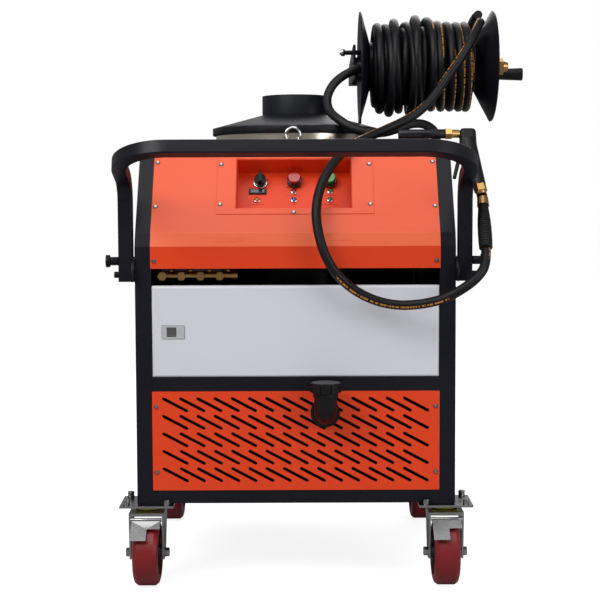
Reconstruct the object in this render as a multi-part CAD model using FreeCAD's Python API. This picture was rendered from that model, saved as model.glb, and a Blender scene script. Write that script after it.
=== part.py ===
import FreeCAD, Part
import math
import os

V = FreeCAD.Vector
X, Y, Z = V(1, 0, 0), V(0, 1, 0), V(0, 0, 1)

# Frame: welded 30 mm square tube. +X is the operator's right, -Y the front, Z up,
# and the origin is on the floor under the middle of the chassis.
tube = 30.0
wall = 2.0
halfWidth = 300.0
halfDepth = 300.0
frameBottom = 157.5
midRailBottom = 368.0
frameTop = 830.0
bendLow = 644.0
bendHigh = 669.0
lean = 33.1
bendBack = 646.1
sheet = 2.0

# Console, cover and grille on the front face.
consoleHalf = 271.3
consoleBottom = 602.6
consoleTop = 822.0
recessDepth = 44.5
coverHalf = 269.7
coverBottom = 398.4
coverTop = 570.3
grilleHalf = 270.5
grilleBottom = 183.0
grilleTop = 371.4
slotColumns = 15
slotRows = 5
slotFirstX = -227.5
slotFirstZ = 346.2
slotPitchX = 32.4
slotPitchZ = 33.4
slotLength = 49.0
slotWidth = 6.0
slotTilt = 28.0

# Push handle: 26.5 x 25 mm tube, folding forward about two bolts on the posts.
armX = 318.0
armY = -285.0
armBottom = 578.0
handleWide = 26.5
handleThick = 25.0
armBendZ = 728.0
armBendRadius = 50.0
armBendTurn = 71.0
armRise = 46.0
cornerRadius = 95.0
pivotZ = 590.8
plungerZ = 616.6
plungerRadius = 6.5
quadrantRadius = 34.0
quadrantThick = 4.5
foldRange = 55.0

# Casters: 125 x 48 mm wheels.
casterX = 283.0
casterFrontY = -269.0
casterRearY = 230.0
casterTrail = 25.0
wheelRadius = 62.5
wheelWidth = 48.0
casterHeight = 155.0
axleRadius = 6.0

# Boiler: vertical coil boiler with a hat and a flue.
boilerY = 67.0
boilerRadius = 168.0
hatRadius = 175.0
hatLip = 862.6
hatTop = 906.0
flueRadius = 70.0
flueTop = 946.0

# Spray gun in its holder on the frame's top.
gunY = -185.0
gunZ = 856.0
gunRoll = 27.0
lanceRadius = 9.0

# Hose routes: from the gun's strain relief over the console to the reel, and from the
# reel's inlet to the outlet on the frame.
mainRoute = [(353, -318, 640), (352.1, -339.8, 611.4), (333, -352, 586), (302, -357, 564),
             (268, -355, 547), (228, -350, 538), (185, -346, 536), (142, -344, 546),
             (103, -342, 567), (72, -341, 597), (52, -337, 634), (41, -325, 675),
             (38, -306, 713), (45, -283, 748), (60, -258, 782), (84, -228, 814),
             (115, -190, 838), (149, -158, 854), (186, -133, 870), (222, -113, 887),
             (252, -99, 906), (276, -90, 933), (299, -83, 964), (323, -78, 997),
             (346, -70, 1031), (365, -52, 1065), (379, -26, 1090)]
feedRoute = [(139, 12, 1002), (135, -3, 999), (119, -14, 993), (98, -20, 982), (79, -27, 966),
             (67, -36, 945), (64, -48, 924), (71, -66, 904), (88, -89, 889), (110, -101, 873),
             (141, -104, 862), (175, -98, 861), (205, -87, 870), (232, -72, 881), (256, -54, 883),
             (276, -32, 877), (289, -10, 867), (292, 6, 853), (292, 8, 839.5)]

# Hose reel on an arm over the hat.
reelY = 40.0
reelZ = 1005.0
drumRadius = 50.0
flangeRadius = 113.0
drumLeft = 155.0
drumRight = 373.0
rimLeft = 134.0
rimRight = 412.0
bracketX = 121.0
pinLift = 30.0
gripY = 88.0
gripZ = 993.0
inletX = -180.0
inletZ = 250.0
hoseRadius = 9.0

saved = {}


def save(name, *solids):
    """Write one node as STEP, as a group when it has several solids."""
    shape = solids[0] if len(solids) == 1 else Part.makeCompound(list(solids))
    for solid in shape.Solids:
        if not solid.isValid():
            print("INVALID", name)
    shape.exportStep("parts/%s.step" % name)
    saved[name] = shape


def box(x0, x1, y0, y1, z0, z1):
    return Part.makeBox(x1 - x0, y1 - y0, z1 - z0, V(x0, y0, z0))


def rod(radius, start, end):
    return Part.makeCylinder(radius, (end - start).Length, start, end - start)


def pipe(outer, inner, start, end):
    return rod(outer, start, end).cut(rod(inner, start, end))


def cone(radius0, radius1, start, end):
    return Part.makeCone(radius0, radius1, (end - start).Length, start, end - start)


def hexBar(acrossFlats, start, end):
    """Hexagonal bar between two points."""
    radius = acrossFlats / math.sqrt(3)
    turns = [math.radians(60 * i) for i in range(7)]
    corners = [V(radius * math.cos(turn), radius * math.sin(turn), 0) for turn in turns]
    solid = Part.Face(Part.makePolygon(corners)).extrude(V(0, 0, (end - start).Length))
    solid.Placement = FreeCAD.Placement(start, FreeCAD.Rotation(Z, end - start))
    return solid


def sideProfile(points, x0, x1):
    """Extrude an outline given as (y, z) points from x0 to x1."""
    corners = [V(x0, y, z) for y, z in points]
    return Part.Face(Part.makePolygon(corners + corners[:1])).extrude(V(x1 - x0, 0, 0))


def turned(points, at, axis):
    """Revolve an outline given as (radius, x) points about an X axis through a point."""
    corners = [V(x, at.y, at.z + radius) for radius, x in points]
    return Part.Face(Part.makePolygon(corners + corners[:1])).revolve(at, axis, 360)


def squareTube(x0, x1, y0, y1, z0, z1, along):
    """Square tube, open at both ends along the named axis."""
    inset = [0 if axis == along else wall for axis in "xyz"]
    bore = box(x0 + inset[0], x1 - inset[0], y0 + inset[1], y1 - inset[1],
               z0 + inset[2], z1 - inset[2])
    return box(x0, x1, y0, y1, z0, z1).cut(bore)


def onSlope(shape):
    """Move a shape from the console's own axes onto its slope.

    In the console's own axes the sheet's outer face is y = 0, z runs up the slope and the
    origin is where the slope would meet the vertical face.
    """
    slope = math.radians(lean)
    corner = V(0, -halfDepth, 655.0) + V(0, -sheet * math.cos(slope), sheet * math.sin(slope))
    moved = shape.copy()
    seat = FreeCAD.Placement(corner, FreeCAD.Rotation(X, -lean))
    moved.Placement = seat.multiply(moved.Placement)
    return moved


def upSlope(z):
    """Distance up the slope of a point at height z."""
    return (z - 656.1) / math.cos(math.radians(lean))


def tubePath(points, share=0.45):
    """Straight runs joined by tangent arcs, and the arcs' radii."""
    edges, radii, start = [], [], points[0]
    for before, corner, after in zip(points, points[1:], points[2:]):
        into, out = (corner - before), (after - corner)
        trim = share * min(into.Length, out.Length)
        turn = into.getAngle(out)
        radii.append(trim / math.tan(turn / 2))
        into.normalize()
        out.normalize()
        arcStart, arcEnd = corner - into * trim, corner + out * trim
        bulge = (out - into)
        bulge.normalize()
        middle = corner + bulge * (radii[-1] / math.cos(turn / 2) - radii[-1])
        edges.append(Part.LineSegment(start, arcStart).toShape())
        edges.append(Part.Arc(arcStart, middle, arcEnd).toShape())
        start = arcEnd
    edges.append(Part.LineSegment(start, points[-1]).toShape())
    return Part.Wire(edges), radii


def sweep(path, points, radius):
    """Round solid along a path that starts at the first point."""
    ring = Part.Wire(Part.makeCircle(radius, points[0], points[1] - points[0]))
    solid = Part.Solid(path.makePipeShell([ring], True, False))
    if solid.Volume < 0:
        solid.reverse()
    return solid


def cordTube(name, points, radius):
    """Solid tube along a route, with its arcs and its volume reported."""
    path, radii = tubePath(points)
    solid = sweep(path, points, radius)
    expected = path.Length * math.pi * radius ** 2
    print("%s: length %.0f mm, volume ratio %.4f" % (name, path.Length, solid.Volume / expected))
    print("   arc radii", " ".join("%.0f" % r for r in radii))
    return solid


def bentBar(wide, thick):
    """One solid of the handle's section along its arms, bends and top bar."""
    turn = math.radians(armBendTurn)
    ahead = V(0, -math.sin(turn), math.cos(turn))
    flat = V(0, math.cos(turn), math.sin(turn))
    half, deep, soft = wide / 2, thick / 2, min(wide, thick) * 0.1
    pieces = []
    for side in (-1, 1):
        foot = V(side * armX, armY, armBottom)
        arm = Part.makeBox(wide, thick, armBendZ - armBottom, foot + V(-half, -deep, 0))
        arm = arm.makeFillet(soft, [e for e in arm.Edges if abs(e.tangentAt(e.FirstParameter).z) > 0.9])
        end = [f for f in arm.Faces if abs(f.CenterOfMass.z - armBendZ) < 0.01][0]
        bend = end.revolve(V(0, armY - armBendRadius, armBendZ), X, armBendTurn)
        pieces += [arm, bend]
        tip = V(side * armX, armY - armBendRadius * (1 - math.cos(turn)),
                armBendZ + armBendRadius * math.sin(turn))
        section = end.copy()
        section.rotate(V(0, armY - armBendRadius, armBendZ), X, armBendTurn)
        pieces.append(section.extrude(ahead * armRise))
        tip = tip + ahead * armRise
        section.translate(ahead * armRise)
        centre = tip - X * side * cornerRadius
        pieces.append(section.revolve(centre, flat, -side * 90))
        section.rotate(centre, flat, -side * 90)
        pieces.append(section.extrude(-X * side * (armX - cornerRadius)))
    whole = pieces[0].multiFuse(pieces[1:])
    return whole.removeSplitter()


def frame():
    """Four posts, the front pair leaning back, and the rails between them."""
    outer, inner = halfWidth, halfWidth - tube
    drop = math.tan(math.radians(lean))
    front, back = -halfDepth, -halfDepth + tube
    topFront = front + (frameTop - 655.0) * drop
    topBack = back + (frameTop - bendBack) * drop
    facetY = front + (bendHigh - 655.0) * drop
    lower = [(front, frameBottom), (front, bendLow), (back, bendBack), (back, frameBottom)]
    upper = [(front, bendLow), (facetY, bendHigh), (topFront, frameTop), (topBack, frameTop),
             (back, bendBack)]
    posts = []
    for x0 in (-outer, inner):
        posts.append(sideProfile(lower, x0, x0 + tube))
        posts.append(sideProfile(upper, x0, x0 + tube))
        posts.append(squareTube(x0, x0 + tube, halfDepth - tube, halfDepth,
                                frameBottom, frameTop, "z"))
    for side in (-1, 1):
        for y in (casterFrontY, casterRearY):
            near, far = sorted((side * (casterX - 40), side * outer))
            posts.append(box(near, far, y - 31, y + 43, casterHeight, frameBottom))
    save("frame_posts", *posts)
    rails = []
    for z in (frameBottom, midRailBottom):
        rails.append(squareTube(-inner, inner, front, back, z, z + tube, "x"))
        rails.append(squareTube(-inner, inner, halfDepth - tube, halfDepth, z, z + tube, "x"))
        for x0 in (-outer, inner):
            rails.append(squareTube(x0, x0 + tube, back, halfDepth - tube, z, z + tube, "y"))
    for y in (topBack, halfDepth - tube):
        rails.append(squareTube(-inner, inner, y, y + tube, frameTop - tube, frameTop, "x"))
    for x0 in (-outer, inner):
        rails.append(squareTube(x0, x0 + tube, topBack, halfDepth - tube,
                                frameTop - tube, frameTop, "y"))
    save("frame_rails", *rails)
    tray = box(-inner, inner, back, halfDepth - tube, frameBottom, frameBottom + 3)
    save("base_tray", tray)
    deck = box(-inner, inner, topBack + tube, halfDepth - tube, frameTop - 4, frameTop - 1)
    save("top_deck", deck.cut(rod(boilerRadius + 2, V(0, boilerY, 800), V(0, boilerY, 850))))


def panels():
    """Side sheets between the frame's tubes, and a rear sheet inside them."""
    inner, gap = halfWidth - tube, 0.4
    low, high = frameBottom + tube + 1, frameTop - tube - 1
    front, rearY = -halfDepth + tube + gap, halfDepth - tube - gap
    under, over = midRailBottom - gap, midRailBottom + tube + gap
    lower = [(front, low), (front, under), (rearY, under), (rearY, low)]
    upper = [(front, over), (front, bendBack - 1), (-166, high), (rearY, high), (rearY, over)]
    sideX = inner + tube / 3
    sheets = [sideProfile(outline, x, x + sheet) for outline in (lower, upper)
              for x in (-sideX - sheet, sideX)]
    rear = box(-inner + gap, inner - gap, rearY - sheet, rearY, low, high)
    sheets.append(rear.cut(rod(14.2, V(inletX, 240, inletZ), V(inletX, 330, inletZ))))
    save("body_panels", *sheets)


controls = {"selector": (-68, 763), "stop": (-2, 763), "start": (66, 763)}
lampPlaces = [(-3, 745), (68, 745), (-74, 729), (-3, 729), (67, 729)]


def controlFace(x, z):
    """A point of the recess's back wall, in the console's own axes."""
    return V(x, recessDepth, upSlope(z) + recessDepth * math.tan(math.radians(lean)))


def console():
    """Bent orange sheet over the posts, its inner plate and the control recess."""
    def lineY(z, off):
        return -halfDepth + (z - 655.0) * drop - off / math.cos(math.radians(lean))

    drop = math.tan(math.radians(lean))
    face = -halfDepth - sheet
    outerSide = [(face, consoleBottom), (face, bendLow - 0.6),
                 (lineY(bendHigh, sheet), bendHigh), (lineY(consoleTop, sheet), consoleTop)]
    innerSide = [(lineY(consoleTop, 0), consoleTop), (lineY(bendHigh, 0), bendHigh),
                 (-halfDepth, bendLow), (-halfDepth, consoleBottom)]
    skin = sideProfile(outerSide + innerSide, -consoleHalf, consoleHalf)
    hem = box(-268, 268, -halfDepth, -halfDepth + 14, consoleBottom, consoleBottom + sheet)
    skin = skin.fuse(hem)
    low, high = upSlope(713.5), upSlope(808)
    window = box(-113, 108, -20, 60, low, high)
    save("console_panel", skin.cut(onSlope(window)).removeSplitter())
    plate = box(-149, 149, -1.5, 0, upSlope(703), upSlope(consoleTop - 1))
    save("control_plate", onSlope(plate.cut(window)))
    shell = box(-113, 108, 0, recessDepth + 1.5, low, high)
    shell = shell.cut(box(-111.5, 106.5, -1, recessDepth, low + 1.5, high - 1.5))
    for name, radius in (("selector", 5.0), ("stop", 9.05), ("start", 9.05)):
        seat = controlFace(*controls[name])
        shell = shell.cut(rod(radius, seat - Y, seat + Y * 3))
    save("control_recess", onSlope(shell))


def switches():
    """Selector knob, two push-buttons, their bezels, the display and the lamps."""
    bezels = []
    for name, bore, height in (("selector", 5.0, 4.0), ("stop", 11.1, 11.0), ("start", 11.1, 11.0)):
        seat = controlFace(*controls[name])
        bezels.append(onSlope(pipe(14.0, bore, seat, seat - Y * height)))
    save("control_bezels", *bezels)
    seat = controlFace(*controls["selector"])
    grip = box(-3.5, 3.5, -24, -13, -11, 11).translated(seat)
    knob = rod(11.5, seat - Y * 4.3, seat - Y * 14).fuse(grip)
    knob = knob.fuse(rod(4.95, seat - Y * 0.5, seat - Y * 5))
    save("selector_knob", onSlope(knob.removeSplitter()))
    for name, node in (("stop", "red_button"), ("start", "green_button")):
        seat = controlFace(*controls[name])
        cap = rod(8.95, seat - Y * 0.3, seat - Y * 6).fuse(rod(11, seat - Y * 6, seat - Y * 20))
        save(node, onSlope(cap.removeSplitter()))
    seat = controlFace(-73, 745)
    lamps = [onSlope(box(-17, 17, -3, 0, -6, 6).translated(seat))]
    for x, z in lampPlaces:
        seat = controlFace(x, z)
        lamp = rod(6, seat, seat - Y * 2.5).fuse(cone(4.2, 3.2, seat - Y * 2.5, seat - Y * 6))
        lamps.append(onSlope(lamp))
    save("panel_indicators", *lamps)


def coverAndGrille():
    """White lift-off cover with its flush latch, and the slotted lower panel."""
    front = -halfDepth - 1.0
    depth = 22.0
    shell = box(-coverHalf, coverHalf, front, front + depth, coverBottom, coverTop)
    shell = shell.makeFillet(5, [e for e in shell.Edges if abs(e.BoundBox.YMax - front) < 0.01])
    hollow = box(-coverHalf + 1.5, coverHalf - 1.5, front + 1.5, front + depth + 1,
                 coverBottom + 1.5, coverTop - 1.5)
    pocket = box(-251, -208, front - 1, front + 3, 471, 496)
    save("white_cover", shell.cut(hollow).cut(pocket))
    body = box(-250.7, -208.3, front - 1.5, front + 4, 471.3, 495.7)
    body = body.cut(box(-241.5, -223.5, front - 2, front + 2.6, 474.6, 492.6))
    save("latch_body", body)
    paddle = box(-241.1, -223.9, front - 0.2, front + 1.8, 476.7, 492.1)
    hinge = V(0, front + 0.8, 476.7)
    paddle = paddle.fuse(rod(1.2, hinge - X * 241.1, hinge - X * 223.9))
    save("latch_paddle", paddle.removeSplitter())
    grilleFront = -halfDepth - sheet
    panel = box(-grilleHalf, grilleHalf, grilleFront, grilleFront + sheet,
                grilleBottom, grilleTop)
    slots = []
    for row in range(slotRows):
        for column in range(slotColumns):
            x = slotFirstX + column * slotPitchX
            z = slotFirstZ - row * slotPitchZ
            slot = box(-slotLength / 2, slotLength / 2, -5, 5, -slotWidth / 2, slotWidth / 2)
            for end in (-slotLength / 2, slotLength / 2):
                slot = slot.fuse(rod(slotWidth / 2, V(end, -5, 0), V(end, 5, 0)))
            slot.rotate(V(0, 0, 0), Y, slotTilt)
            slots.append(slot.translated(V(x, grilleFront, z)))
    panel = panel.cut(Part.makeCompound(slots)).cut(rod(24.0, V(55, -320, 331), V(55, -280, 331)))
    save("grille_panel", panel)


def filler():
    """Filler flange and neck through the grille, and its lugged cap."""
    points = [V(55, -255, 331), V(55, -322, 331), V(55, -348, 345), V(55, -352, 372)]
    path = tubePath(points)[0]
    solid = sweep(path, points, 21.0)
    bore = sweep(path, points, 17.0)
    flange = pipe(27.5, 19, V(55, -302.2, 331), V(55, -308, 331))
    top = points[-1]
    collar = pipe(23, 19, top - Z * 4, top + Z * 3)
    save("filler_neck", solid.cut(bore).fuse(flange).fuse(collar))
    cap = rod(26, top + Z * 4, top + Z * 23)
    lugs = []
    for i in range(6):
        lug = box(-4, 4, 22, 29, 0, 17).translated(top + Z * 5)
        lug.rotate(top, Z, 30 + 60 * i)
        lugs.append(lug)
    cap = cap.multiFuse(lugs).fuse(rod(16.4, top - Z * 3, top + Z * 5))
    save("filler_cap", cap.removeSplitter())


def pushHandle():
    """Bent handle, its pivot bolts, the slotted quadrants and the index plungers."""
    bar = bentBar(handleWide, handleThick)
    bar = bar.cut(bentBar(handleWide - 2 * wall, handleThick - 2 * wall))
    for side in (-1, 1):
        inside, outside = V(side * 290, armY, 0), V(side * 345, armY, 0)
        bar = bar.cut(rod(5.05, inside + Z * pivotZ, outside + Z * pivotZ))
        bar = bar.cut(rod(plungerRadius + 0.04, inside + Z * plungerZ, outside + Z * plungerZ))
    save("push_handle", bar)
    fittings = []
    armOuter = armX + handleWide / 2
    for side in (-1, 1):
        at = V(side, 0, 0)
        axis = V(0, armY, pivotZ)
        bolt = rod(5, axis + at * halfWidth, axis + at * (armOuter + 0.3))
        head = rod(6, axis + at * (armOuter + 0.3), axis + at * (armOuter + 9))
        fittings.append(bolt.fuse(head).removeSplitter())
        fittings.append(quadrant(side))
    save("handle_mountings", *fittings)
    for side, node in ((-1, "left_plunger"), (1, "right_plunger")):
        at = V(side, 0, 0)
        axis = V(0, armY, plungerZ)
        pin = rod(4, axis + at * 300.5, axis + at * 308)
        pin = pin.fuse(rod(plungerRadius, axis + at * 308, axis + at * (armOuter + 1)))
        shank = rod(8, axis + at * (armOuter + 1), axis + at * (armOuter + 17))
        knob = rod(11.7, axis + at * (armOuter + 17), axis + at * (armOuter + 24))
        save(node, pin.multiFuse([shank, knob]).removeSplitter())


def quadrant(side):
    """Plate on the post with the curved slot that the plunger's pin runs in."""
    lift, half = plungerZ - pivotZ, 4.3
    inner, outer = side * (halfWidth - 1), side * (halfWidth + quadrantThick + 1)
    ring = pipe(lift + half, lift - half, V(inner, 0, 0), V(outer, 0, 0))
    turns = [math.radians(foldRange * i / 2) for i in range(3)]
    sector = sideProfile([(0, 0)] + [(-60 * math.sin(turn), 60 * math.cos(turn)) for turn in turns],
                         min(inner, outer), max(inner, outer))
    slot = ring.common(sector)
    for angle in (0, foldRange):
        end = rod(half, V(inner, 0, lift), V(outer, 0, lift))
        end.rotate(V(0, 0, 0), X, angle)
        slot = slot.fuse(end)
    slot.translate(V(0, armY, pivotZ))
    axis = V(0, armY, pivotZ)
    at = V(side, 0, 0)
    near, far = axis + at * halfWidth, axis + at * (halfWidth + quadrantThick)
    plate = rod(quadrantRadius, near, far).cut(rod(5, near - at, far + at)).cut(slot)
    lowest = box(-400, 400, armY - 60, armY + 60, pivotZ - 60, pivotZ - 12)
    return plate.cut(lowest)


def wheel(name, x, y):
    """Red tread bonded on a core, as two solids, bored for its axle."""
    half = wheelWidth / 2
    outline = [(44, -half), (44, half), (52, half), (58, half - 2), (wheelRadius, half - 8),
               (wheelRadius, -half + 8), (58, -half + 2), (52, -half)]
    tread = turned(outline, V(0, 0, 0), X)
    core = rod(44, V(-half + 4, 0, 0), V(half - 4, 0, 0))
    core = core.fuse(rod(14, V(-half - 3, 0, 0), V(half + 3, 0, 0)))
    for side in (-1, 1):
        dish = pipe(38, 14, V(side * (half - 10), 0, 0), V(side * (half - 4), 0, 0))
        core = core.cut(dish)
    core = core.cut(rod(axleRadius + 0.05, V(-half - 4, 0, 0), V(half + 4, 0, 0)))
    place = V(x, y, wheelRadius)
    save(name, tread.translated(place), core.removeSplitter().translated(place))


def fork(x, pivotY, axleY, swivel):
    """Pressed fork: crown, two legs and the axle bolt with its heads."""
    axle = V(x, axleY, wheelRadius)
    crownBottom = 136.0
    crownTop = 142.0 if swivel else casterHeight - 4
    spanY = (min(pivotY, axleY) - 22, max(pivotY, axleY) + 22)
    crown = box(x - 33, x + 33, spanY[0], spanY[1], crownBottom, crownTop)
    if swivel:
        crown = crown.fuse(rod(32.5, V(x, pivotY, crownBottom), V(x, pivotY, crownTop)))
        crown = crown.fuse(rod(8, V(x, pivotY, 141), V(x, pivotY, 147))).removeSplitter()
    solids = [crown]
    rearTop = pivotY + 22
    outline = [(spanY[0], 127), (spanY[0], crownBottom), (rearTop, crownBottom),
               (axleY + 15, 52), (axleY - 15, 52)]
    for side in (-1, 1):
        near, far = sorted((x + side * 29.5, x + side * 33))
        leg = sideProfile(outline, near, far)
        hole = rod(axleRadius, V(x - 40, axleY, wheelRadius), V(x + 40, axleY, wheelRadius))
        solids.append(leg.cut(hole))
    bolt = rod(axleRadius, axle - X * 36, axle + X * 36)
    heads = [hexBar(15, axle + X * side * 33, axle + X * side * 41) for side in (-1, 1)]
    solids.append(bolt.multiFuse(heads).removeSplitter())
    return solids


def casters():
    """Two braked swivel casters in front, two fixed casters behind."""
    plates, seals, bolts = [], [], []
    for side in (-1, 1):
        x = side * casterX
        for pivotY in (casterFrontY, casterRearY):
            plates.append(box(x - 51, x + 51, pivotY - 45, pivotY + 45,
                              casterHeight - 4, casterHeight))
            for outward, dy in ((38, -38), (38, 36), (-38, -38), (-38, 36)):
                at = V(x + side * outward, pivotY + dy, casterHeight)
                if outward > 0 or at.y < -halfDepth:
                    bolts.append(rod(6.2, at, at + Z * 11))
                else:
                    bolts.append(hexBar(10, at - Z * 9, at - Z * 4))
        seals.append(pipe(25, 8.05, V(x, casterFrontY, 143), V(x, casterFrontY, 151)))
    save("caster_plates", *plates, *bolts)
    save("caster_seals", *seals)
    rear = []
    for side, hand in ((-1, "left"), (1, "right")):
        x = side * casterX
        axleY = casterFrontY - casterTrail
        save(hand + "_caster_fork", *fork(x, casterFrontY, axleY, True))
        wheel("front_" + hand + "_wheel", x, axleY)
        rear += fork(x, casterRearY, casterRearY, False)
        wheel("rear_" + hand + "_wheel", x, casterRearY)
        save(hand + "_brake_pedal", brakePedal(x, axleY))
    save("rear_forks", *rear)


def brakePedal(x, axleY):
    """Stepped pedal hanging in front of the wheel from a hinge rod."""
    hinge = V(x, axleY - 26, 130.5)
    barrel = rod(4, hinge - X * 29.1, hinge + X * 29.1)
    upper = Part.makeBox(54, 22, 3, V(-27, 0, -1.5))
    lower = Part.makeBox(30, 28, 3, V(-27, 20, -1.5))
    plate = upper.fuse(lower).removeSplitter()
    plate.rotate(V(0, 0, 0), X, 220)
    return plate.translated(hinge).fuse(barrel).removeSplitter()


def boiler():
    """Coil boiler: jacket, hat with its flue, lifting eye, coil and burner."""
    axis = V(0, boilerY, 0)
    jacket = pipe(boilerRadius, boilerRadius - 2, axis + Z * 360, axis + Z * (hatLip + 12))
    floor = rod(boilerRadius - 2, axis + Z * 360, axis + Z * 366)
    save("boiler_jacket", jacket.fuse(floor).removeSplitter())
    lip = pipe(hatRadius, boilerRadius + 0.5, axis + Z * hatLip, axis + Z * (hatLip + 15))
    top = cone(hatRadius, flueRadius, axis + Z * (hatLip + 15), axis + Z * hatTop)
    inside = cone(hatRadius - 3, flueRadius - 3, axis + Z * (hatLip + 12.9), axis + Z * (hatTop - 2))
    bore = rod(flueRadius - 2, axis + Z * (hatTop - 10), axis + Z * (flueTop + 10))
    rim = pipe(hatRadius, boilerRadius - 12, axis + Z * (hatLip + 12), axis + Z * (hatLip + 15))
    hat = lip.fuse(rim).fuse(top.cut(inside)).cut(bore).removeSplitter()
    save("boiler_hat", hat, pipe(flueRadius, flueRadius - 2, axis + Z * hatTop, axis + Z * flueTop))
    eyeY = boilerY - hatRadius - 3.2
    loop = Part.makeTorus(14.5, 2.75, V(-5, eyeY, 858), Y)
    shank = rod(2.5, V(-5, eyeY, 843.5), V(-5, boilerY - boilerRadius + 0.05, 843.5))
    save("lifting_eye", loop.fuse(shank).removeSplitter())
    turns = [Part.makeTorus(135, 12, axis + Z * (410 + 34 * i), Z) for i in range(11)]
    riser = rod(12, axis + V(105, 0, 378), axis + V(105, 0, 790))
    save("heating_coil", riser, *turns)
    head = rod(60, axis + Z * 300, axis + Z * 359.7)
    casing = box(-60, 60, boilerY - 60, boilerY + 60, 250, 300)
    save("burner", head.fuse(casing).removeSplitter())


def internals():
    """Tanks, pump, motor and electrical box on the tray."""
    floor = frameBottom + 3
    tank = box(-262, -80, -255, 120, floor, 359)
    save("water_tank", tank.makeFillet(12, tank.Edges))
    fuel = box(-70, 262, -255, -130, floor + 20, 360)
    save("fuel_tank", fuel.makeFillet(10, fuel.Edges))
    pump = box(100, 185, 20, 110, floor, 270).fuse(box(110, 175, 110, 150, floor + 15, 255))
    motor = rod(60, V(142, -105, floor + 62), V(142, 20, floor + 62))
    motor = motor.fuse(box(90, 194, -95, 10, floor, floor + 25))
    save("pump_unit", pump.removeSplitter(), motor.removeSplitter())
    save("control_box", box(-255, -130, -250, -185, 590, 680))
    main = rod(9, V(-262, -262, 588), V(-110, -262, 588))
    stubs = []
    for x in (-250, -214, -178, -142):
        stubs.append(rod(7, V(x, -262, 588), V(x, -284, 588)))
        stubs.append(hexBar(15, V(x, -284, 588), V(x, -294, 588)))
        stubs.append(rod(5.5, V(x + 14, -262, 588), V(x + 14, -262, 604)))
    inlet = pipe(13.25, 9, V(inletX, 255, inletZ), V(inletX, 322, inletZ))
    nut = hexBar(34, V(inletX, 272, inletZ), V(inletX, 284, inletZ))
    nut = nut.cut(rod(11, V(inletX, 260, inletZ), V(inletX, 330, inletZ)))
    outlet = hexBar(24, V(292, 8, frameTop), V(292, 8, 838))
    save("brass_fittings", main.multiFuse(stubs).removeSplitter(), inlet.fuse(nut), outlet)


def screws():
    """Domed panel screws of the console, its plate and the grille."""
    skin = [(side * 264, z) for side in (-1, 1) for z in (802, 718)]
    plate = [(-142, 797), (142, 797), (-142, 721), (142, 721), (-3, 706)]
    heads = []
    for places, base in ((skin, 0.0), (plate, -1.5)):
        for x, z in places:
            at = V(x, base, upSlope(z))
            heads.append(onSlope(cone(4.6, 2.6, at, at - Y * 2.6)))
    front = [(side * 264, 617) for side in (-1, 1)]
    front += [(side * 263, z) for side in (-1, 1) for z in (342.5, 217.5)]
    for x, z in front:
        at = V(x, -halfDepth - sheet, z)
        heads.append(cone(4.6, 2.6, at, at - Y * 2.6))
    save("panel_screws", *heads)


def reel():
    """Hose reel: bracket with its axle, drum with dished flanges, brake pin and crank."""
    at = V(0, reelY, reelZ)
    legX, legY = bracketX + 22, 262
    foot = box(bracketX + 2, bracketX + 50, legY, legY + 36, frameTop, frameTop + 5)
    leg = box(legX, legX + 6, legY, legY + 36, frameTop + 5, reelZ + 20)
    spacer = box(bracketX, legX + 6, legY, legY + 36, reelZ - 20, reelZ + 20)
    arm = sideProfile([(legY + 36, reelZ - 20), (legY + 36, reelZ + 20), (reelY + 26, reelZ + 44),
                       (reelY - 22, reelZ + 44), (reelY - 22, reelZ - 20)],
                      bracketX, bracketX + 5)
    axle = pipe(10, 5, at + X * (bracketX - 2), at + X * (drumRight + 13.5))
    pinAt = at + Z * pinLift
    bracket = foot.multiFuse([leg, spacer, arm]).cut(rod(9, at + X * 100, at + X * 130))
    bracket = bracket.fuse(pipe(20, 9, at + X * (bracketX + 5), at + X * (bracketX + 9)))
    bracket = bracket.fuse(axle).cut(rod(5.04, pinAt + X * 100, pinAt + X * 130))
    save("reel_bracket", bracket.removeSplitter())
    web = drumLeft - 4
    outline = [(10.04, web - 2), (20, web - 2), (20, web), (drumRadius, web),
               (flangeRadius, rimLeft), (flangeRadius + 1.5, rimLeft + 2.5),
               (drumRadius, drumLeft), (drumRadius, drumRight),
               (flangeRadius + 1.5, rimRight - 2.5), (flangeRadius, rimRight),
               (drumRadius - 2, drumRight + 4), (16, drumRight + 4), (16, drumRight + 9),
               (10.04, drumRight + 9), (10.04, drumRight), (drumRadius - 3, drumRight),
               (drumRadius - 3, drumLeft), (10.04, drumLeft)]
    save("reel_drum", turned(outline, at, X))
    hubEnd = drumRight + 28
    sleeve = rod(16, at + X * (drumRight + 14), at + X * hubEnd)
    lever = sideProfile([(reelY - 14, reelZ + 10), (gripY + 10, gripZ + 9),
                         (gripY + 10, gripZ - 9), (reelY - 14, reelZ - 12)], hubEnd, hubEnd + 6)
    nut = hexBar(30, at + X * (hubEnd + 6), at + X * (hubEnd + 34))
    nut = nut.fuse(cone(12, 9, at + X * (hubEnd + 34), at + X * (hubEnd + 44)))
    stub = V(0, gripY, gripZ)
    spindle = rod(5, stub + X * (hubEnd + 5), stub + X * 476)
    save("reel_crank", sleeve.multiFuse([lever, spindle]).removeSplitter(), nut)
    grip = cone(11.5, 13.5, stub + X * 430, stub + X * 483)
    save("crank_grip", grip.cut(rod(5.04, stub + X * 420, stub + X * 477)))
    pin = rod(5, pinAt + X * 93, pinAt + X * 138)
    save("reel_brake_pin", pin.fuse(rod(7.5, pinAt + X * 96, pinAt + X * 104)).removeSplitter())
    block = box(133, 147, reelY - 16, reelY + 16, reelZ - 16, reelZ + 16)
    start, after = V(*feedRoute[0]), V(*feedRoute[1])
    back = (start - after).normalize()
    block = block.fuse(rod(5.5, start, start + back * 16)).cut(rod(10, at, at + X * 200))
    save("reel_inlet", block.removeSplitter())


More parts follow.
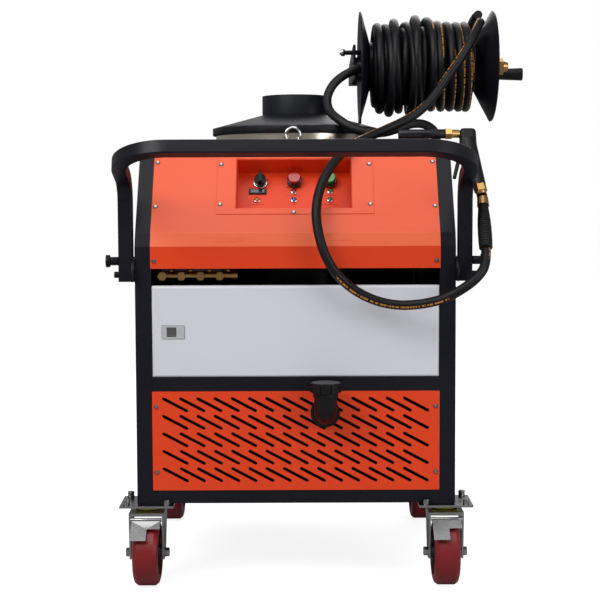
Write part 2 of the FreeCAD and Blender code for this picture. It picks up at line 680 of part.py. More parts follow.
def woundHose():
    """Outer shape of the hose wound on the drum."""
    outline = [(drumRadius + 0.3, drumLeft + 2), (100, drumLeft - 3), (104, drumLeft + 12),
               (99, drumRight - 33), (93, drumRight + 2), (drumRadius + 0.3, drumRight - 2)]
    save("wound_hose", turned(outline, V(0, reelY, reelZ), X))


def gun():
    """Spray gun lying in its holder: lance, body with grip, trigger and swivel fittings."""
    def place(shape):
        shape.rotate(V(0, 0, 0), X, -gunRoll)
        return shape.translated(V(0, gunY, gunZ))

    lance = rod(lanceRadius, V(200, 0, 0), V(291, 0, 0))
    coupling = hexBar(20, V(291, 0, 0), V(303, 0, 0)).fuse(rod(8, V(303, 0, 0), V(318, 0, 0)))
    save("gun_lance", place(lance), place(coupling.removeSplitter()))
    body = box(318, 350, -12, 12, -38, 9)
    body = body.makeFillet(8, body.Edges)
    pivot = V(328, 0, -30)
    body = body.fuse(cone(15, 12.5, V(334, 0, -14), V(351, 0, -112)))
    body = body.cut(box(314, 334, -5.5, 5.5, -42, -22))
    body = body.fuse(rod(3, pivot - Y * 6, pivot + Y * 6))
    save("gun_body", place(body.removeSplitter()))
    lever = box(317, 331, -5, 5, -34, -26).fuse(cone(4.5, 3.5, V(321, 0, -30), V(304, 0, -97)))
    lever = lever.cut(rod(3.05, pivot - Y * 7, pivot + Y * 7))
    save("gun_trigger", place(lever.removeSplitter()))
    end, along = V(351, 0, -112), V(17, 0, -98).normalize()
    swivel = hexBar(22, end, end + along * 14).fuse(rod(10, end + along * 14, end + along * 28))
    swivel = place(swivel.fuse(Part.makeSphere(10, end + along * 28)).removeSplitter())
    roll = math.radians(gunRoll)
    elbow = end + along * 28
    elbow = V(elbow.x, gunY + elbow.z * math.sin(roll), gunZ + elbow.z * math.cos(roll))
    hoseEnd = V(*mainRoute[0])
    down = (hoseEnd - elbow).normalize()
    ferrule = cone(10.5, 11.5, elbow, elbow + down * 18).cut(swivel)
    save("gun_swivel", swivel, ferrule)
    save("strain_relief", cone(9, 12.5, elbow + down * 18, hoseEnd))
    cradle = pipe(12.5, lanceRadius + 0.05, V(246, gunY, gunZ), V(260, gunY, gunZ))
    cradle = cradle.cut(box(240, 270, gunY - 20, gunY + 20, gunZ + 2, gunZ + 20))
    strut = sideProfile([(-122, frameTop), (-150, frameTop), (gunY + 6, gunZ - 14),
                         (gunY + 14, gunZ - 6), (-140, frameTop + 10), (-122, frameTop + 4)],
                        248, 258)
    strut = strut.cut(rod(lanceRadius + 0.05, V(240, gunY, gunZ), V(270, gunY, gunZ)))
    save("gun_holder", cradle.fuse(strut).removeSplitter())


def hoses():
    """The two hoses that lie free: gun to reel, and outlet to reel."""
    save("main_hose", cordTube("main_hose", [V(*p) for p in mainRoute], hoseRadius))
    save("feed_hose", cordTube("feed_hose", [V(*p) for p in feedRoute], hoseRadius))


os.makedirs("parts", exist_ok=True)
frame()
panels()
console()
switches()
coverAndGrille()
filler()
pushHandle()
casters()
boiler()
internals()
screws()
reel()
woundHose()
gun()
hoses()
print(len(saved), "nodes")
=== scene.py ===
import bpy, bmesh, math
from mathutils import Matrix, Vector


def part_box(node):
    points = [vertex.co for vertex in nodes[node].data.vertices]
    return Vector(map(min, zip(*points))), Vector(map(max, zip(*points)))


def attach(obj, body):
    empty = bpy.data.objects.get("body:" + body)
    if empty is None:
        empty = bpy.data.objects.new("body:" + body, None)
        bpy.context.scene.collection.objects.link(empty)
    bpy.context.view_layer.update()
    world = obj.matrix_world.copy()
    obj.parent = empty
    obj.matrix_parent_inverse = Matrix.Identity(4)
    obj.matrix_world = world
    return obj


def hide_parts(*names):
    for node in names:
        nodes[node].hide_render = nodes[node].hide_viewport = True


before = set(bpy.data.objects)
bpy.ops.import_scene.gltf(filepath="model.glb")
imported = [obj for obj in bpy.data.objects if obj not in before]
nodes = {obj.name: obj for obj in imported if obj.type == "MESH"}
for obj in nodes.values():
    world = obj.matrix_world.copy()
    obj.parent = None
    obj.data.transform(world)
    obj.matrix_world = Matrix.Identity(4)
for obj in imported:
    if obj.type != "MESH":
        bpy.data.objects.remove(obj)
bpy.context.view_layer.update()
bpy.ops.object.select_all(action="DESELECT")
print("frame loaded:", len(nodes), "nodes")

view = {"place": (0.0084, -2.823, 0.747), "pitch": 85.384, "roll": -0.2, "lens": 81.15}


def placeCamera():
    data = bpy.data.cameras.new("camera")
    data.lens, data.sensor_width = view["lens"], 36.0
    camera = bpy.data.objects.new("camera", data)
    bpy.context.scene.collection.objects.link(camera)
    tilt = Matrix.Rotation(math.radians(view["pitch"]), 4, "X")
    roll = Matrix.Rotation(math.radians(view["roll"]), 4, "Z")
    camera.matrix_world = Matrix.Translation(view["place"]) @ tilt @ roll
    bpy.context.scene.camera = camera


placeCamera()


def hoseLine(name, points, resolution=10):
    # the smooth line through a route's points: a NURBS spline with no thickness
    data = bpy.data.curves.new(name, "CURVE")
    data.dimensions = "3D"
    spline = data.splines.new("NURBS")
    spline.points.add(len(points) - 1)
    for point, place in zip(spline.points, points):
        point.co = (*place, 1.0)
    spline.order_u = 3
    spline.use_endpoint_u = True
    spline.resolution_u = resolution
    line = bpy.data.objects.new(name, data)
    bpy.context.scene.collection.objects.link(line)
    bpy.context.view_layer.update()
    mesh = bpy.data.meshes.new_from_object(line.evaluated_get(bpy.context.evaluated_depsgraph_get()))
    path = [vertex.co.copy() for vertex in mesh.vertices]
    bpy.data.objects.remove(line)
    bpy.data.meshes.remove(mesh)
    return path


def tubeAlong(name, path, radius, sides=18):
    # round tube with its own UV map: U is the length in metres, V goes round
    mesh = bpy.data.meshes.new(name)
    build = bmesh.new()
    uv = build.loops.layers.uv.new("UVMap")
    normal = (path[1] - path[0]).orthogonal().normalized()
    rings, lengths, run = [], [], 0.0
    for i, here in enumerate(path):
        ahead = path[min(i + 1, len(path) - 1)]
        behind = path[max(i - 1, 0)]
        along = (ahead - behind).normalized()
        normal = (normal - along * normal.dot(along)).normalized()
        side = along.cross(normal)
        if i:
            run += (here - path[i - 1]).length
        lengths.append(run)
        ring = []
        for k in range(sides):
            angle = 2 * math.pi * k / sides
            ring.append(build.verts.new(here + (normal * math.cos(angle) + side * math.sin(angle)) * radius))
        rings.append(ring)
    for i in range(len(rings) - 1):
        for k in range(sides):
            after = (k + 1) % sides
            face = build.faces.new((rings[i][k], rings[i][after], rings[i + 1][after], rings[i + 1][k]))
            face.smooth = True
            corners = ((i, k), (i, k + 1), (i + 1, k + 1), (i + 1, k))
            for loop, (along, around) in zip(face.loops, corners):
                loop[uv].uv = (lengths[along], around / sides)
    build.faces.new(list(reversed(rings[0])))
    build.faces.new(rings[-1])
    build.to_mesh(mesh)
    build.free()
    piece = bpy.data.objects.new(name, mesh)
    bpy.context.scene.collection.objects.link(piece)
    return piece, run


hose = {
    "radius": 0.009,
    "main": [(353, -318, 640), (352.1, -339.8, 611.4), (333, -352, 586), (302, -357, 564),
             (268, -355, 547), (228, -350, 538), (185, -346, 536), (142, -344, 546),
             (103, -342, 567), (72, -341, 597), (52, -337, 634), (41, -325, 675),
             (38, -306, 713), (45, -283, 748), (60, -258, 782), (84, -228, 814),
             (115, -190, 838), (149, -158, 854), (186, -133, 870), (222, -113, 887),
             (252, -99, 906), (276, -90, 933), (299, -83, 964), (323, -78, 997),
             (346, -70, 1031), (365, -52, 1065), (379, -26, 1090)],
    "feed": [(139, 12, 1002), (135, -3, 999), (119, -14, 993), (98, -20, 982), (79, -27, 966),
             (67, -36, 945), (64, -48, 924), (71, -66, 904), (88, -89, 889), (110, -101, 873),
             (141, -104, 862), (175, -98, 861), (205, -87, 870), (232, -72, 881), (256, -54, 883),
             (276, -32, 877), (289, -10, 867), (292, 6, 853), (292, 8, 839.5)],
}


def metres(route):
    return [Vector(point) / 1000 for point in route]


def layHose(name, route, node):
    path = hoseLine(name, metres(route))
    tube, run = tubeAlong(name, path, hose["radius"])
    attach(tube, "chassis")
    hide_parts(node)
    print(name, "length", round(run, 3))
    return tube


def turnedPiece(name, profile, start, direction, sides=32):
    # lathe work: a disc is extruded step by step, profile holds (step forward, radius) in millimetres
    bpy.ops.mesh.primitive_circle_add(vertices=sides, radius=profile[0][1] / 1000, fill_type="NGON")
    piece = bpy.context.active_object
    piece.name = name
    bpy.ops.object.mode_set(mode="EDIT")
    bpy.ops.mesh.select_all(action="SELECT")
    height, radius = 0.0, profile[0][1]
    for forward, wanted in profile[1:]:
        height += forward / 1000
        bpy.ops.mesh.extrude_region_move(TRANSFORM_OT_translate={"value": (0, 0, forward / 1000)})
        scale = wanted / radius
        bpy.ops.transform.resize(value=(scale, scale, 1), center_override=(0, 0, height))
        radius = wanted
    bpy.ops.mesh.select_all(action="SELECT")
    bpy.ops.mesh.normals_make_consistent(inside=False)
    bpy.ops.object.mode_set(mode="OBJECT")
    bpy.ops.object.shade_smooth_by_angle(angle=math.radians(40))
    turn = Vector(direction).to_track_quat("Z", "Y").to_matrix().to_4x4()
    piece.matrix_world = Matrix.Translation(Vector(start)) @ turn
    bpy.ops.object.transform_apply(location=True, rotation=True, scale=True)
    bpy.ops.object.select_all(action="DESELECT")
    return piece


crimp = {"radius": 11.2, "length": 24.0, "grooves": 4}


def hoseCrimp(name, start, direction):
    # pressed collar on a hose's end, with rounded grooves
    step = crimp["length"] / (crimp["grooves"] * 4 + 2)
    profile = [(0, 9.3), (0.3, 10.4), (step, crimp["radius"])]
    for i in range(crimp["grooves"]):
        profile += [(step * 1.4, crimp["radius"]), (step * 0.6, crimp["radius"] - 0.9),
                    (step * 1.2, crimp["radius"] - 0.9), (step * 0.6, crimp["radius"])]
    profile += [(step, crimp["radius"]), (0.8, 9.3)]
    piece = turnedPiece(name, profile, start, direction)
    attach(piece, "chassis")
    return piece


relief = {"start": (355.4, -258.6, 718.1), "ribs": 19, "narrow": 9.4, "wide": 12.6,
          "bulge": 2.0, "depth": 1.6}


def ribbedRelief():
    # rubber bend guard between the gun's swivel and its hose
    start, end = Vector(relief["start"]) / 1000, metres(hose["main"])[0]
    length = (end - start).length * 1000
    step = length / (relief["ribs"] * 4)
    profile = [(0, relief["narrow"])]
    for i in range(relief["ribs"]):
        share = (i + 0.5) / relief["ribs"]
        radius = relief["narrow"] + (relief["wide"] - relief["narrow"]) * share
        radius += relief["bulge"] * math.sin(math.pi * share)
        profile += [(step, radius - relief["depth"]), (step, radius), (step, radius),
                    (step, radius - relief["depth"])]
    profile.append((0.6, 9.1))
    piece = turnedPiece("bend_guard", profile, start, end - start)
    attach(piece, "chassis")
    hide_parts("strain_relief")
    return piece


feedEnds = metres(hose["feed"])
bendGuard = ribbedRelief()
inletCrimp = hoseCrimp("inlet_crimp", feedEnds[0], feedEnds[1] - feedEnds[0])
outletCrimp = hoseCrimp("outlet_crimp", feedEnds[-1] - Vector((0, 0, 0.0012)), (0, -0.08, 1))
mainHose = layHose("main_hose_line", hose["main"], "main_hose")
feedHose = layHose("feed_hose_line", hose["feed"], "feed_hose")

# winding on the drum: two close layers, then loose turns as (place, radius, drop, lean) in metres
winding = {
    "axisY": 0.040, "axisZ": 1.005, "left": 0.167, "right": 0.360, "pitch": 0.0186,
    "inner": 0.0597, "middle": 0.0757, "steps": 16, "endPlace": 0.379, "endRadius": 0.1075, "endTurn": 52.2,
    "loose": [(0.171, 0.085, 0.000, 0.002), (0.190, 0.092, 0.011, 0.007), (0.209, 0.090, -0.005, -0.005),
              (0.234, 0.093, 0.009, 0.009), (0.253, 0.096, -0.007, -0.006), (0.278, 0.090, -0.004, 0.004),
              (0.299, 0.087, 0.000, -0.003), (0.318, 0.086, 0.000, 0.002), (0.337, 0.086, 0.001, 0.001),
              (0.354, 0.086, 0.000, -0.002)],
}


def windHose():
    steps = []
    left, right = winding["left"], winding["right"]
    count = int((right - left) / winding["pitch"]) * winding["steps"]
    angle, step = 0.0, 2 * math.pi / winding["steps"]
    for layer, radius in enumerate((winding["inner"], winding["middle"])):
        for i in range(count):
            share = 1 - i / count if layer else i / count
            steps.append((left + (right - left) * share, radius, 0.0, 0.0, angle))
            angle -= step
    loose = [(left, winding["middle"], 0.0, 0.0)] + winding["loose"]
    for before, after in zip(loose, loose[1:]):
        for i in range(winding["steps"]):
            share = (i + 1) / winding["steps"]
            steps.append((*[a + (b - a) * share for a, b in zip(before, after)], angle))
            angle -= step
    lastPlace, lastRadius = winding["loose"][-1][:2]  # then over the top to where the free run starts
    rest = 2 * math.pi - math.radians(winding["endTurn"])
    count = int(rest / step)
    for i in range(count):
        share = (i + 1) / count
        place = lastPlace + (winding["endPlace"] - lastPlace) * share ** 2
        radius = lastRadius + (winding["endRadius"] - lastRadius) * share ** 3
        steps.append((place, radius, 0.0, 0.0, angle + step - rest * share))
    points = []
    for place, radius, drop, lean, angle in steps:
        points.append(Vector((place + lean * math.cos(angle), winding["axisY"] - radius * math.cos(angle),
                              winding["axisZ"] + radius * math.sin(angle) - drop)))
    return points


woundPoints = windHose()
woundPath = hoseLine("wound", woundPoints, 3)
woundHose, woundRun = tubeAlong("wound_hose_line", woundPath, hose["radius"], 12)
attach(woundHose, "reel")
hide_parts("wound_hose")
print("wound hose length", round(woundRun, 2))

paints = {}


def mottled(tree, place, scale, detail=6):
    noise = tree.nodes.new("ShaderNodeTexNoise")
    noise.inputs["Scale"].default_value = scale
    noise.inputs["Detail"].default_value = detail
    tree.links.new(place, noise.inputs["Vector"])
    return noise.outputs["Fac"]


def mixedColours(tree, share, first, second):
    # first and second are colours or sockets
    mix = tree.nodes.new("ShaderNodeMix")
    mix.data_type = "RGBA"
    for socket, value in ((6, first), (7, second)):
        if hasattr(value, "links"):
            tree.links.new(value, mix.inputs[socket])
        else:
            mix.inputs[socket].default_value = (*value, 1)
    tree.links.new(share, mix.inputs[0])
    return mix.outputs[2]


def ranged(tree, value, low, high, fromLow=0.0, fromHigh=1.0, clamp=True):
    node = tree.nodes.new("ShaderNodeMapRange")
    node.clamp = clamp
    node.inputs["From Min"].default_value = fromLow
    node.inputs["From Max"].default_value = fromHigh
    node.inputs["To Min"].default_value = low
    node.inputs["To Max"].default_value = high
    tree.links.new(value, node.inputs["Value"])
    return node.outputs["Result"]


def worked(tree, operation, *values):
    # a Math node over numbers or sockets
    node = tree.nodes.new("ShaderNodeMath")
    node.operation = operation
    for socket, value in zip(node.inputs, values):
        if hasattr(value, "links"):
            tree.links.new(value, socket)
        else:
            socket.default_value = value
    return node.outputs["Value"]


def finish(name, colour, roughness=0.45, metallic=0.0, shade=0.12, shadeScale=14.0, grain=900.0, bump=0.04,
           coat=0.0, spread=0.08, stretch=(1, 1, 1), specular=0.5, second=None, mask=None):
    # mottled colour, uneven gloss and a fine surface bump, all on Object coordinates;
    # second is (colour, metallic) where mask, a function of the tree and the place, is 1
    material = bpy.data.materials.new(name)
    material.use_nodes = True
    tree = material.node_tree
    shader = tree.nodes["Principled BSDF"]
    shader.inputs["Metallic"].default_value = metallic
    shader.inputs["Specular IOR Level"].default_value = specular
    shader.inputs["Coat Weight"].default_value = coat
    shader.inputs["Coat Roughness"].default_value = 0.12
    place = tree.nodes.new("ShaderNodeTexCoord").outputs["Object"]
    turn = tree.nodes.new("ShaderNodeMapping")
    turn.inputs["Scale"].default_value = stretch
    tree.links.new(place, turn.inputs["Vector"])
    place, raw = turn.outputs["Vector"], place
    fac = mottled(tree, place, shadeScale)
    dark = [c * (1 - shade) for c in colour]
    light = [min(1.0, c * (1 + shade) + 0.002) for c in colour]
    base = mixedColours(tree, fac, dark, light)
    if mask:
        share = mask(tree, raw)
        base = mixedColours(tree, share, base, second[0])
        if second[1] != metallic:
            tree.links.new(ranged(tree, share, metallic, second[1]), shader.inputs["Metallic"])
    tree.links.new(base, shader.inputs["Base Color"])
    gloss = ranged(tree, fac, max(0.03, roughness - spread), min(1.0, roughness + spread))
    tree.links.new(gloss, shader.inputs["Roughness"])
    relief = tree.nodes.new("ShaderNodeBump")
    relief.inputs["Strength"].default_value = bump
    relief.inputs["Distance"].default_value = 0.001
    tree.links.new(mottled(tree, place, grain, 2), relief.inputs["Height"])
    tree.links.new(relief.outputs["Normal"], shader.inputs["Normal"])
    paints[name] = material
    return material


def axisMask(axis, low, high):
    # 0 below low, 1 above high along an axis
    def mask(tree, place):
        split = tree.nodes.new("ShaderNodeSeparateXYZ")
        tree.links.new(place, split.inputs["Vector"])
        return ranged(tree, split.outputs[axis], 0, 1, low, high)
    return mask


def radiusMask(centre, low, high):
    # 0 near an X axis through centre, 1 away from it
    def mask(tree, place):
        turn = tree.nodes.new("ShaderNodeMapping")
        turn.inputs["Location"].default_value = (0, -centre[1], -centre[2])
        turn.inputs["Scale"].default_value = (0, 1, 1)
        length = tree.nodes.new("ShaderNodeVectorMath")
        length.operation = "LENGTH"
        tree.links.new(place, turn.inputs["Vector"])
        tree.links.new(turn.outputs["Vector"], length.inputs[0])
        return ranged(tree, length.outputs["Value"], 0, 1, low, high)
    return mask


def slopeHighlightMask(tree, place):
    # painted highlight: the slope over the bend is half lit in colour, and palest along the bent band itself,
    # where the painted glare runs in streaks
    split = tree.nodes.new("ShaderNodeSeparateXYZ")
    tree.links.new(place, split.inputs["Vector"])
    slope = ranged(tree, split.outputs["Z"], 0, 0.5, 0.6435, 0.645)
    below = ranged(tree, split.outputs["Z"], 1, 0, 0.6685, 0.6705)
    streaks = tree.nodes.new("ShaderNodeMapping")
    streaks.inputs["Scale"].default_value = (6, 1, 60)
    tree.links.new(place, streaks.inputs["Vector"])
    glareStreaks = ranged(tree, mottled(tree, streaks.outputs["Vector"], 2.0, 4), 0.4, 2.4, 0.3, 0.7)
    return worked(tree, "MULTIPLY_ADD", slope, worked(tree, "MULTIPLY", below, glareStreaks), slope)


hosePrint = {"width": 0.030, "letters": 210.0, "groups": 5.0}


def printMask(band, fromX):
    return lambda tree, place: goldDashes(tree, place, band, fromX)


def goldDashes(tree, place, band, fromX):
    # dashes in groups, in a line along the hose on the side band, to the right of fromX
    split = tree.nodes.new("ShaderNodeSeparateXYZ")
    tree.links.new(tree.nodes.new("ShaderNodeUVMap").outputs["UV"], split.inputs["Vector"])
    where = tree.nodes.new("ShaderNodeSeparateXYZ")
    tree.links.new(place, where.inputs["Vector"])
    values = [ranged(tree, where.outputs["X"], 0, 1, fromX, fromX + 0.004)]
    for scale, low in ((hosePrint["letters"], 0.47), (hosePrint["groups"], 0.46)):
        stretched = tree.nodes.new("ShaderNodeCombineXYZ")
        scaled = ranged(tree, split.outputs["X"], 0, scale, clamp=False)
        tree.links.new(scaled, stretched.inputs["X"])
        values.append(ranged(tree, mottled(tree, stretched.outputs["Vector"], 1.0, 2), 0, 1, low, low + 0.02))
    away = worked(tree, "ABSOLUTE", worked(tree, "SUBTRACT", split.outputs["Y"], band))
    values.append(ranged(tree, away, 1, 0, hosePrint["width"], hosePrint["width"] + 0.004))
    total = values[0]
    for value in values[1:]:
        total = worked(tree, "MULTIPLY", total, value)
    return total


orange = (0.76, 0.050, 0.006)
# black paint, tinted blue as a painted reflection of the sky
finish("blackPaint", (0.0035, 0.0038, 0.008), 0.40, 0.0, 0.2, 6.0, 700.0, 0.10, specular=0.22)
finish("orangePaint", orange, 0.42, 0.0, 0.05, 5.0, 650.0, 0.08, specular=0.35)
# the console top: its lighter second colour is a painted highlight on the slope and the bent band
finish("orangeTop", orange, 0.38, 0.0, 0.04, 5.0, 650.0, 0.08, specular=0.35,
       second=((0.86, 0.15, 0.060), 0.0), mask=slopeHighlightMask)
finish("whitePaint", (0.66, 0.67, 0.72), 0.42, 0.0, 0.03, 4.0, 800.0, 0.05)
finish("greyPlastic", (0.45, 0.46, 0.48), 0.4, 0.0, 0.05, 20.0, 900.0, 0.04)
finish("blackPlastic", (0.003, 0.003, 0.004), 0.42, 0.0, 0.2, 20.0, 1200.0, 0.12, specular=0.25)
finish("hatPaint", (0.005, 0.0055, 0.009), 0.5, 0.0, 0.25, 9.0, 500.0, 0.15, specular=0.22)
for name, band, fromX in (("freeHose", 0.77, 0.075), ("reelHose", 0.24, 0.262)):
    finish(name, (0.003, 0.003, 0.0045), 0.42, 0.0, 0.3, 40.0, 1500.0, 0.14, specular=0.25,
           second=((0.55, 0.22, 0.03), 0.0), mask=printMask(band, fromX))
finish("plainRubber", (0.005, 0.005, 0.006), 0.5, 0.0, 0.3, 40.0, 1500.0, 0.14, specular=0.35)
finish("zincPlate", (0.30, 0.30, 0.30), 0.24, 1.0, 0.16, 30.0, 400.0, 0.06, spread=0.12)
finish("zincPlateDark", (0.14, 0.14, 0.15), 0.35, 0.6, 0.1, 30.0, 400.0, 0.06)
finish("stainless", (0.016, 0.015, 0.014), 0.24, 1.0, 0.15, 10.0, 60.0, 0.02, stretch=(1, 1, 30),
       second=((0.62, 0.55, 0.45), 1.0), mask=axisMask("Z", 0.79, 0.80))
finish("chrome", (0.80, 0.81, 0.83), 0.10, 1.0, 0.04, 30.0, 300.0, 0.01, spread=0.04)
finish("bezelRing", (0.80, 0.81, 0.83), 0.14, 1.0, 0.04, 30.0, 300.0, 0.01, spread=0.04,
       second=((0.006, 0.006, 0.008), 0.0), mask=axisMask("X", -0.041, -0.039))
finish("brass", (0.42, 0.25, 0.09), 0.30, 1.0, 0.2, 60.0, 500.0, 0.05, spread=0.12)
finish("darkSteel", (0.02, 0.02, 0.024), 0.35, 0.6, 0.2, 30.0, 500.0, 0.06,
       second=((0.62, 0.38, 0.13), 1.0), mask=axisMask("X", 0.2905, 0.2915))
finish("sealYellow", (0.62, 0.56, 0.03), 0.4, 0.0, 0.1, 40.0, 800.0, 0.05)
finish("buttonRed", (0.42, 0.004, 0.006), 0.22, 0.0, 0.05, 60.0, 900.0, 0.02, coat=0.5)
finish("buttonGreen", (0.004, 0.24, 0.045), 0.22, 0.0, 0.05, 60.0, 900.0, 0.02, coat=0.5)
finish("castIron", (0.03, 0.03, 0.032), 0.6, 0.6, 0.2, 30.0, 500.0, 0.2)
finish("darkTank", (0.012, 0.012, 0.013), 0.55, 0.0, 0.06, 8.0, 700.0, 0.06, specular=0.2)
finish("pinSteel", (0.65, 0.65, 0.66), 0.25, 1.0, 0.1, 30.0, 300.0, 0.03,
       second=((0.006, 0.006, 0.008), 0.0), mask=axisMask("X", 0.0995, 0.1005))
finish("lensAmber", (0.45, 0.16, 0.02), 0.15, 0.0, 0.1, 90.0, 900.0, 0.01, coat=0.6)
finish("lensRed", (0.30, 0.006, 0.02), 0.15, 0.0, 0.1, 90.0, 900.0, 0.01, coat=0.6)
finish("lensBlue", (0.02, 0.10, 0.34), 0.15, 0.0, 0.1, 90.0, 900.0, 0.01, coat=0.6)
finish("lensGreen", (0.01, 0.16, 0.03), 0.15, 0.0, 0.1, 90.0, 900.0, 0.01, coat=0.6)
finish("printInk", (0.16, 0.006, 0.004), 0.5, 0.0, 0.2, 300.0, 900.0, 0.02)
finish("displayGlass", (0.012, 0.016, 0.026), 0.12, 0.0, 0.2, 60.0, 900.0, 0.01, coat=0.6)
wheelPlaces = {name: [(low + high) / 2 for low, high in zip(*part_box(name))] for name in
               ("front_left_wheel", "front_right_wheel", "rear_left_wheel", "rear_right_wheel")}
for name, centre in wheelPlaces.items():
    finish(name + "_finish", (0.055, 0.055, 0.06), 0.4, 0.7, 0.2, 30.0, 500.0, 0.1,
           second=((0.20, 0.003, 0.006), 0.0), mask=radiusMask(centre, 0.0438, 0.0442))

# which finish each part gets; orangeTop carries a painted highlight and blackPaint a painted sky reflection
finishOfParts = {
    "blackPaint": ["frame_posts", "frame_rails", "push_handle", "reel_bracket", "reel_drum",
                   "gun_holder", "top_deck", "base_tray", "body_panels", "handle_mountings",
                   "left_plunger", "right_plunger"],
    "orangePaint": ["grille_panel", "control_recess"],
    "orangeTop": ["console_panel", "control_plate"],
    "whitePaint": ["white_cover"],
    "greyPlastic": ["latch_body", "control_box"],
    "zincPlateDark": ["latch_paddle"],
    "blackPlastic": ["selector_knob", "filler_neck", "filler_cap", "crank_grip", "gun_body", "gun_trigger",
                     "fuel_tank", "reel_inlet"],
    "hatPaint": ["boiler_hat"],
    "zincPlate": ["caster_plates", "left_caster_fork", "right_caster_fork", "rear_forks",
                  "left_brake_pedal", "right_brake_pedal", "panel_screws"],
    "stainless": ["boiler_jacket", "heating_coil"],
    "chrome": ["lifting_eye"],
    "bezelRing": ["control_bezels"],
    "brass": ["brass_fittings", "reel_crank", "gun_swivel"],
    "darkSteel": ["gun_lance"],
    "sealYellow": ["caster_seals"],
    "buttonRed": ["red_button"],
    "buttonGreen": ["green_button"],
    "castIron": ["burner", "pump_unit"],
    "darkTank": ["water_tank"],
    "pinSteel": ["reel_brake_pin"],
}
for paint, names in finishOfParts.items():
    for name in names:
        nodes[name].data.materials.clear()
        nodes[name].data.materials.append(paints[paint])
for name in wheelPlaces:
    nodes[name].data.materials.clear()
    nodes[name].data.materials.append(paints[name + "_finish"])
for tube, paint in ((mainHose, "freeHose"), (feedHose, "plainRubber"), (woundHose, "reelHose")):
    tube.data.materials.append(paints[paint])
for piece in (inletCrimp, outletCrimp):
    piece.data.materials.append(paints["blackPlastic"])
bendGuard.data.materials.append(paints["plainRubber"])
print("finishes:", len(paints))

# rounded edges on the sheet metal and tubes, in metres
softEdges = {
    "frame_posts": 0.0008, "console_panel": 0.0006, "white_cover": 0.0008,
    "control_plate": 0.0004, "control_recess": 0.0005, "caster_plates": 0.0007,
    "left_caster_fork": 0.0009, "right_caster_fork": 0.0009, "rear_forks": 0.0009, "left_brake_pedal": 0.0008,
    "right_brake_pedal": 0.0008, "reel_bracket": 0.0008, "filler_cap": 0.0016, "filler_neck": 0.0008,
    "latch_body": 0.0007, "latch_paddle": 0.0005, "selector_knob": 0.0012, "red_button": 0.0014,
    "green_button": 0.0014, "control_bezels": 0.0008, "crank_grip": 0.0012, "reel_crank": 0.0009,
    "gun_swivel": 0.0009, "gun_lance": 0.0007, "reel_brake_pin": 0.0010, "left_plunger": 0.0012,
    "right_plunger": 0.0012, "handle_mountings": 0.0008, "frame_rails": 0.0016, "boiler_hat": 0.0010,
    "brass_fittings": 0.0008, "panel_screws": 0.0004,
}


def softenEdges():
    for name, width in softEdges.items():
        merge = nodes[name].modifiers.new("merge", "WELD")
        merge.merge_threshold = 0.00002
        bevel = nodes[name].modifiers.new("soft edge", "BEVEL")
        bevel.width, bevel.segments = width, 2
        bevel.limit_method = "ANGLE"
        bevel.angle_limit = math.radians(32)
        bevel.use_clamp_overlap = True
        bevel.harden_normals = True


softenEdges()

panel = {"lean": 33.1, "recess": 0.0445, "front": -0.300, "foot": 0.655, "plate": 0.002,
         "display": (-73, 745),
         "lamps": [(-3, 745, "lensRed"), (68, 745, "lensGreen"), (-74, 729, "lensAmber"),
                   (-3, 729, "lensBlue"), (67, 729, "lensGreen")],
         "marks": [(-72, 753.5, 34), (-3, 753.5, 32), (64, 753.5, 30), (-3, 737.6, 26), (65, 737.6, 24),
                   (-76, 720.5, 34), (-3, 720.5, 16), (64, 720.5, 34)]}


def onPanel(x, z, out=0.0):
    # a point of the recess's back wall, moved out of it
    lean = math.radians(panel["lean"])
    face = panel["foot"] + panel["plate"] * math.sin(lean)
    up = (z / 1000 - face) / math.cos(lean) + panel["recess"] * math.tan(lean)
    deep = panel["recess"] - out - panel["plate"]
    y = panel["front"] + up * math.sin(lean) + deep * math.cos(lean)
    height = face + up * math.cos(lean) - (panel["recess"] - out) * math.sin(lean)
    return Vector((x / 1000, y, height))


panelOut = Matrix.Rotation(-math.radians(panel["lean"]), 3, "X") @ Vector((0, -1, 0))


def panelBlock(name, x, z, wide, high, deep, edge, out=0.0):
    # small block on the recess's back wall
    bpy.ops.mesh.primitive_cube_add(size=1, scale=(wide / 1000, deep / 1000, high / 1000))
    piece = bpy.context.active_object
    piece.name = name
    bpy.ops.object.transform_apply(location=False, rotation=False, scale=True)
    bpy.ops.object.mode_set(mode="EDIT")
    bpy.ops.mesh.select_all(action="SELECT")
    bpy.ops.mesh.bevel(offset=edge / 1000, segments=2)
    bpy.ops.object.mode_set(mode="OBJECT")
    lean = Matrix.Rotation(-math.radians(panel["lean"]), 4, "X")
    piece.matrix_world = Matrix.Translation(onPanel(x, z, (out + deep / 2) / 1000)) @ lean
    bpy.ops.object.transform_apply(location=True, rotation=True, scale=True)
    bpy.ops.object.select_all(action="DESELECT")
    return piece


def joinPieces(pieces, name):
    bpy.ops.object.select_all(action="DESELECT")
    for piece in pieces:
        piece.select_set(True)
    bpy.context.view_layer.objects.active = pieces[0]
    if len(pieces) > 1:
        bpy.ops.object.join()
    pieces[0].name = name
    bpy.ops.object.select_all(action="DESELECT")
    return pieces[0]


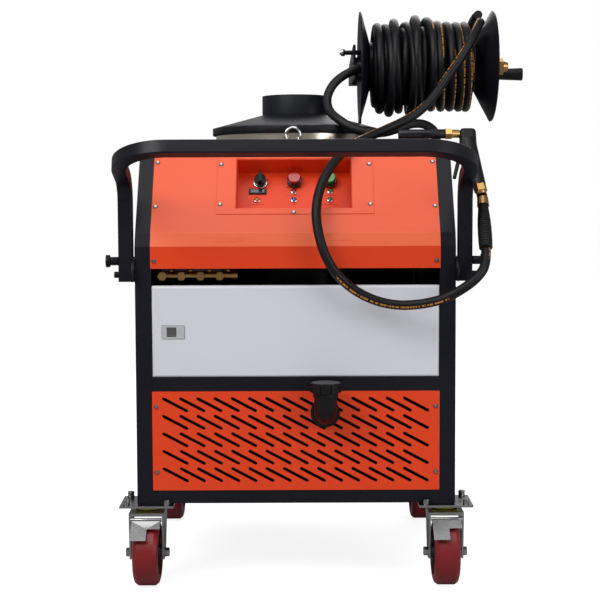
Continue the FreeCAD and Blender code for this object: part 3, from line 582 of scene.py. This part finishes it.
def panelFittings():
    rims, lenses = [], {}
    for x, z, lens in panel["lamps"]:
        at = onPanel(x, z)
        rims.append(turnedPiece("lamp_rim", [(0, 6.4), (1.6, 6.4), (0.8, 5.8), (0.4, 4.6), (-1.2, 4.2)],
                                at, panelOut, 24))
        dome = [(0, 4.3), (1.6, 4.3), (1.2, 3.9), (0.9, 3.0), (0.5, 1.6), (0.1, 0.4)]
        lenses.setdefault(lens, []).append(turnedPiece("lamp_lens", dome, at, panelOut, 20))
    rim = joinPieces(rims, "lamp_rims")
    rim.data.materials.append(paints["chrome"])
    bodies = [rim]
    for lens, pieces in lenses.items():
        whole = joinPieces(pieces, "lamp_" + lens.lower())
        whole.data.materials.append(paints[lens])
        bodies.append(whole)
    x, z = panel["display"]
    surround = panelBlock("display_frame", x, z, 34, 12, 3.0, 0.6)
    surround.data.materials.append(paints["blackPlastic"])
    glass = panelBlock("display_glass", x, z, 27, 7.5, 0.6, 0.2, 3.0)
    glass.data.materials.append(paints["displayGlass"])
    dashes = []
    for x, z, wide in panel["marks"]:
        place = x - wide / 2
        for i, share in enumerate((0.28, 0.16, 0.34, 0.22)):
            length = wide * share
            dashes.append(panelBlock("mark", place + length / 2, z, length - 1.6, 1.3, 0.16, 0.05))
            place += length
    marks = joinPieces(dashes, "panel_marks")
    marks.data.materials.append(paints["printInk"])
    for piece in bodies + [surround, glass, marks]:
        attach(piece, "chassis")
    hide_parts("panel_indicators")


panelFittings()
print("pieces made")

studio = {
    "background": 1.0, "ambient": 0.30, "floorGlow": 0.86,
    "lamps": [("key", (-1.9, -2.3, 2.7), 1.6, 62), ("fill", (2.3, -2.2, 1.5), 1.6, 30),
              ("slope", (0.0, -1.75, 3.6), 2.2, 36), ("rear", (0.6, 2.4, 2.6), 2.0, 40)],
}


def lightAndFloor():
    # the world and the floor are white to the camera only, so the lamps alone shape the object
    world = bpy.data.worlds.new("studio")
    world.use_nodes = True
    tree = world.node_tree
    sky = tree.nodes["Background"]
    sky.inputs["Color"].default_value = (1, 1, 1, 1)
    path = tree.nodes.new("ShaderNodeLightPath")
    tree.links.new(ranged(tree, path.outputs["Is Camera Ray"], studio["ambient"], studio["background"]),
                   sky.inputs["Strength"])
    bpy.context.scene.world = world
    for name, place, size, power in studio["lamps"]:
        data = bpy.data.lights.new(name, "AREA")
        data.size, data.energy = size, power
        lamp = bpy.data.objects.new(name, data)
        aim = (Vector((0, 0, 0.6)) - Vector(place)).to_track_quat("-Z", "Y").to_matrix().to_4x4()
        lamp.matrix_world = Matrix.Translation(place) @ aim
        bpy.context.scene.collection.objects.link(lamp)
    bpy.ops.mesh.primitive_plane_add(size=60, location=(0, 0, 0))
    floor = bpy.context.active_object
    floor.name = "floor"
    material = bpy.data.materials.new("floorPale")
    material.use_nodes = True
    shader = material.node_tree.nodes["Principled BSDF"]
    shader.inputs["Base Color"].default_value = (0.40, 0.40, 0.41, 1)
    shader.inputs["Emission Color"].default_value = (1, 1, 1, 1)
    tree = material.node_tree
    path = tree.nodes.new("ShaderNodeLightPath")
    glow = ranged(tree, path.outputs["Is Camera Ray"], 0, studio["floorGlow"])
    tree.links.new(glow, shader.inputs["Emission Strength"])
    shader.inputs["Roughness"].default_value = 0.9
    floor.data.materials.append(material)


lightAndFloor()
bpy.context.scene.view_settings.view_transform = "Standard"
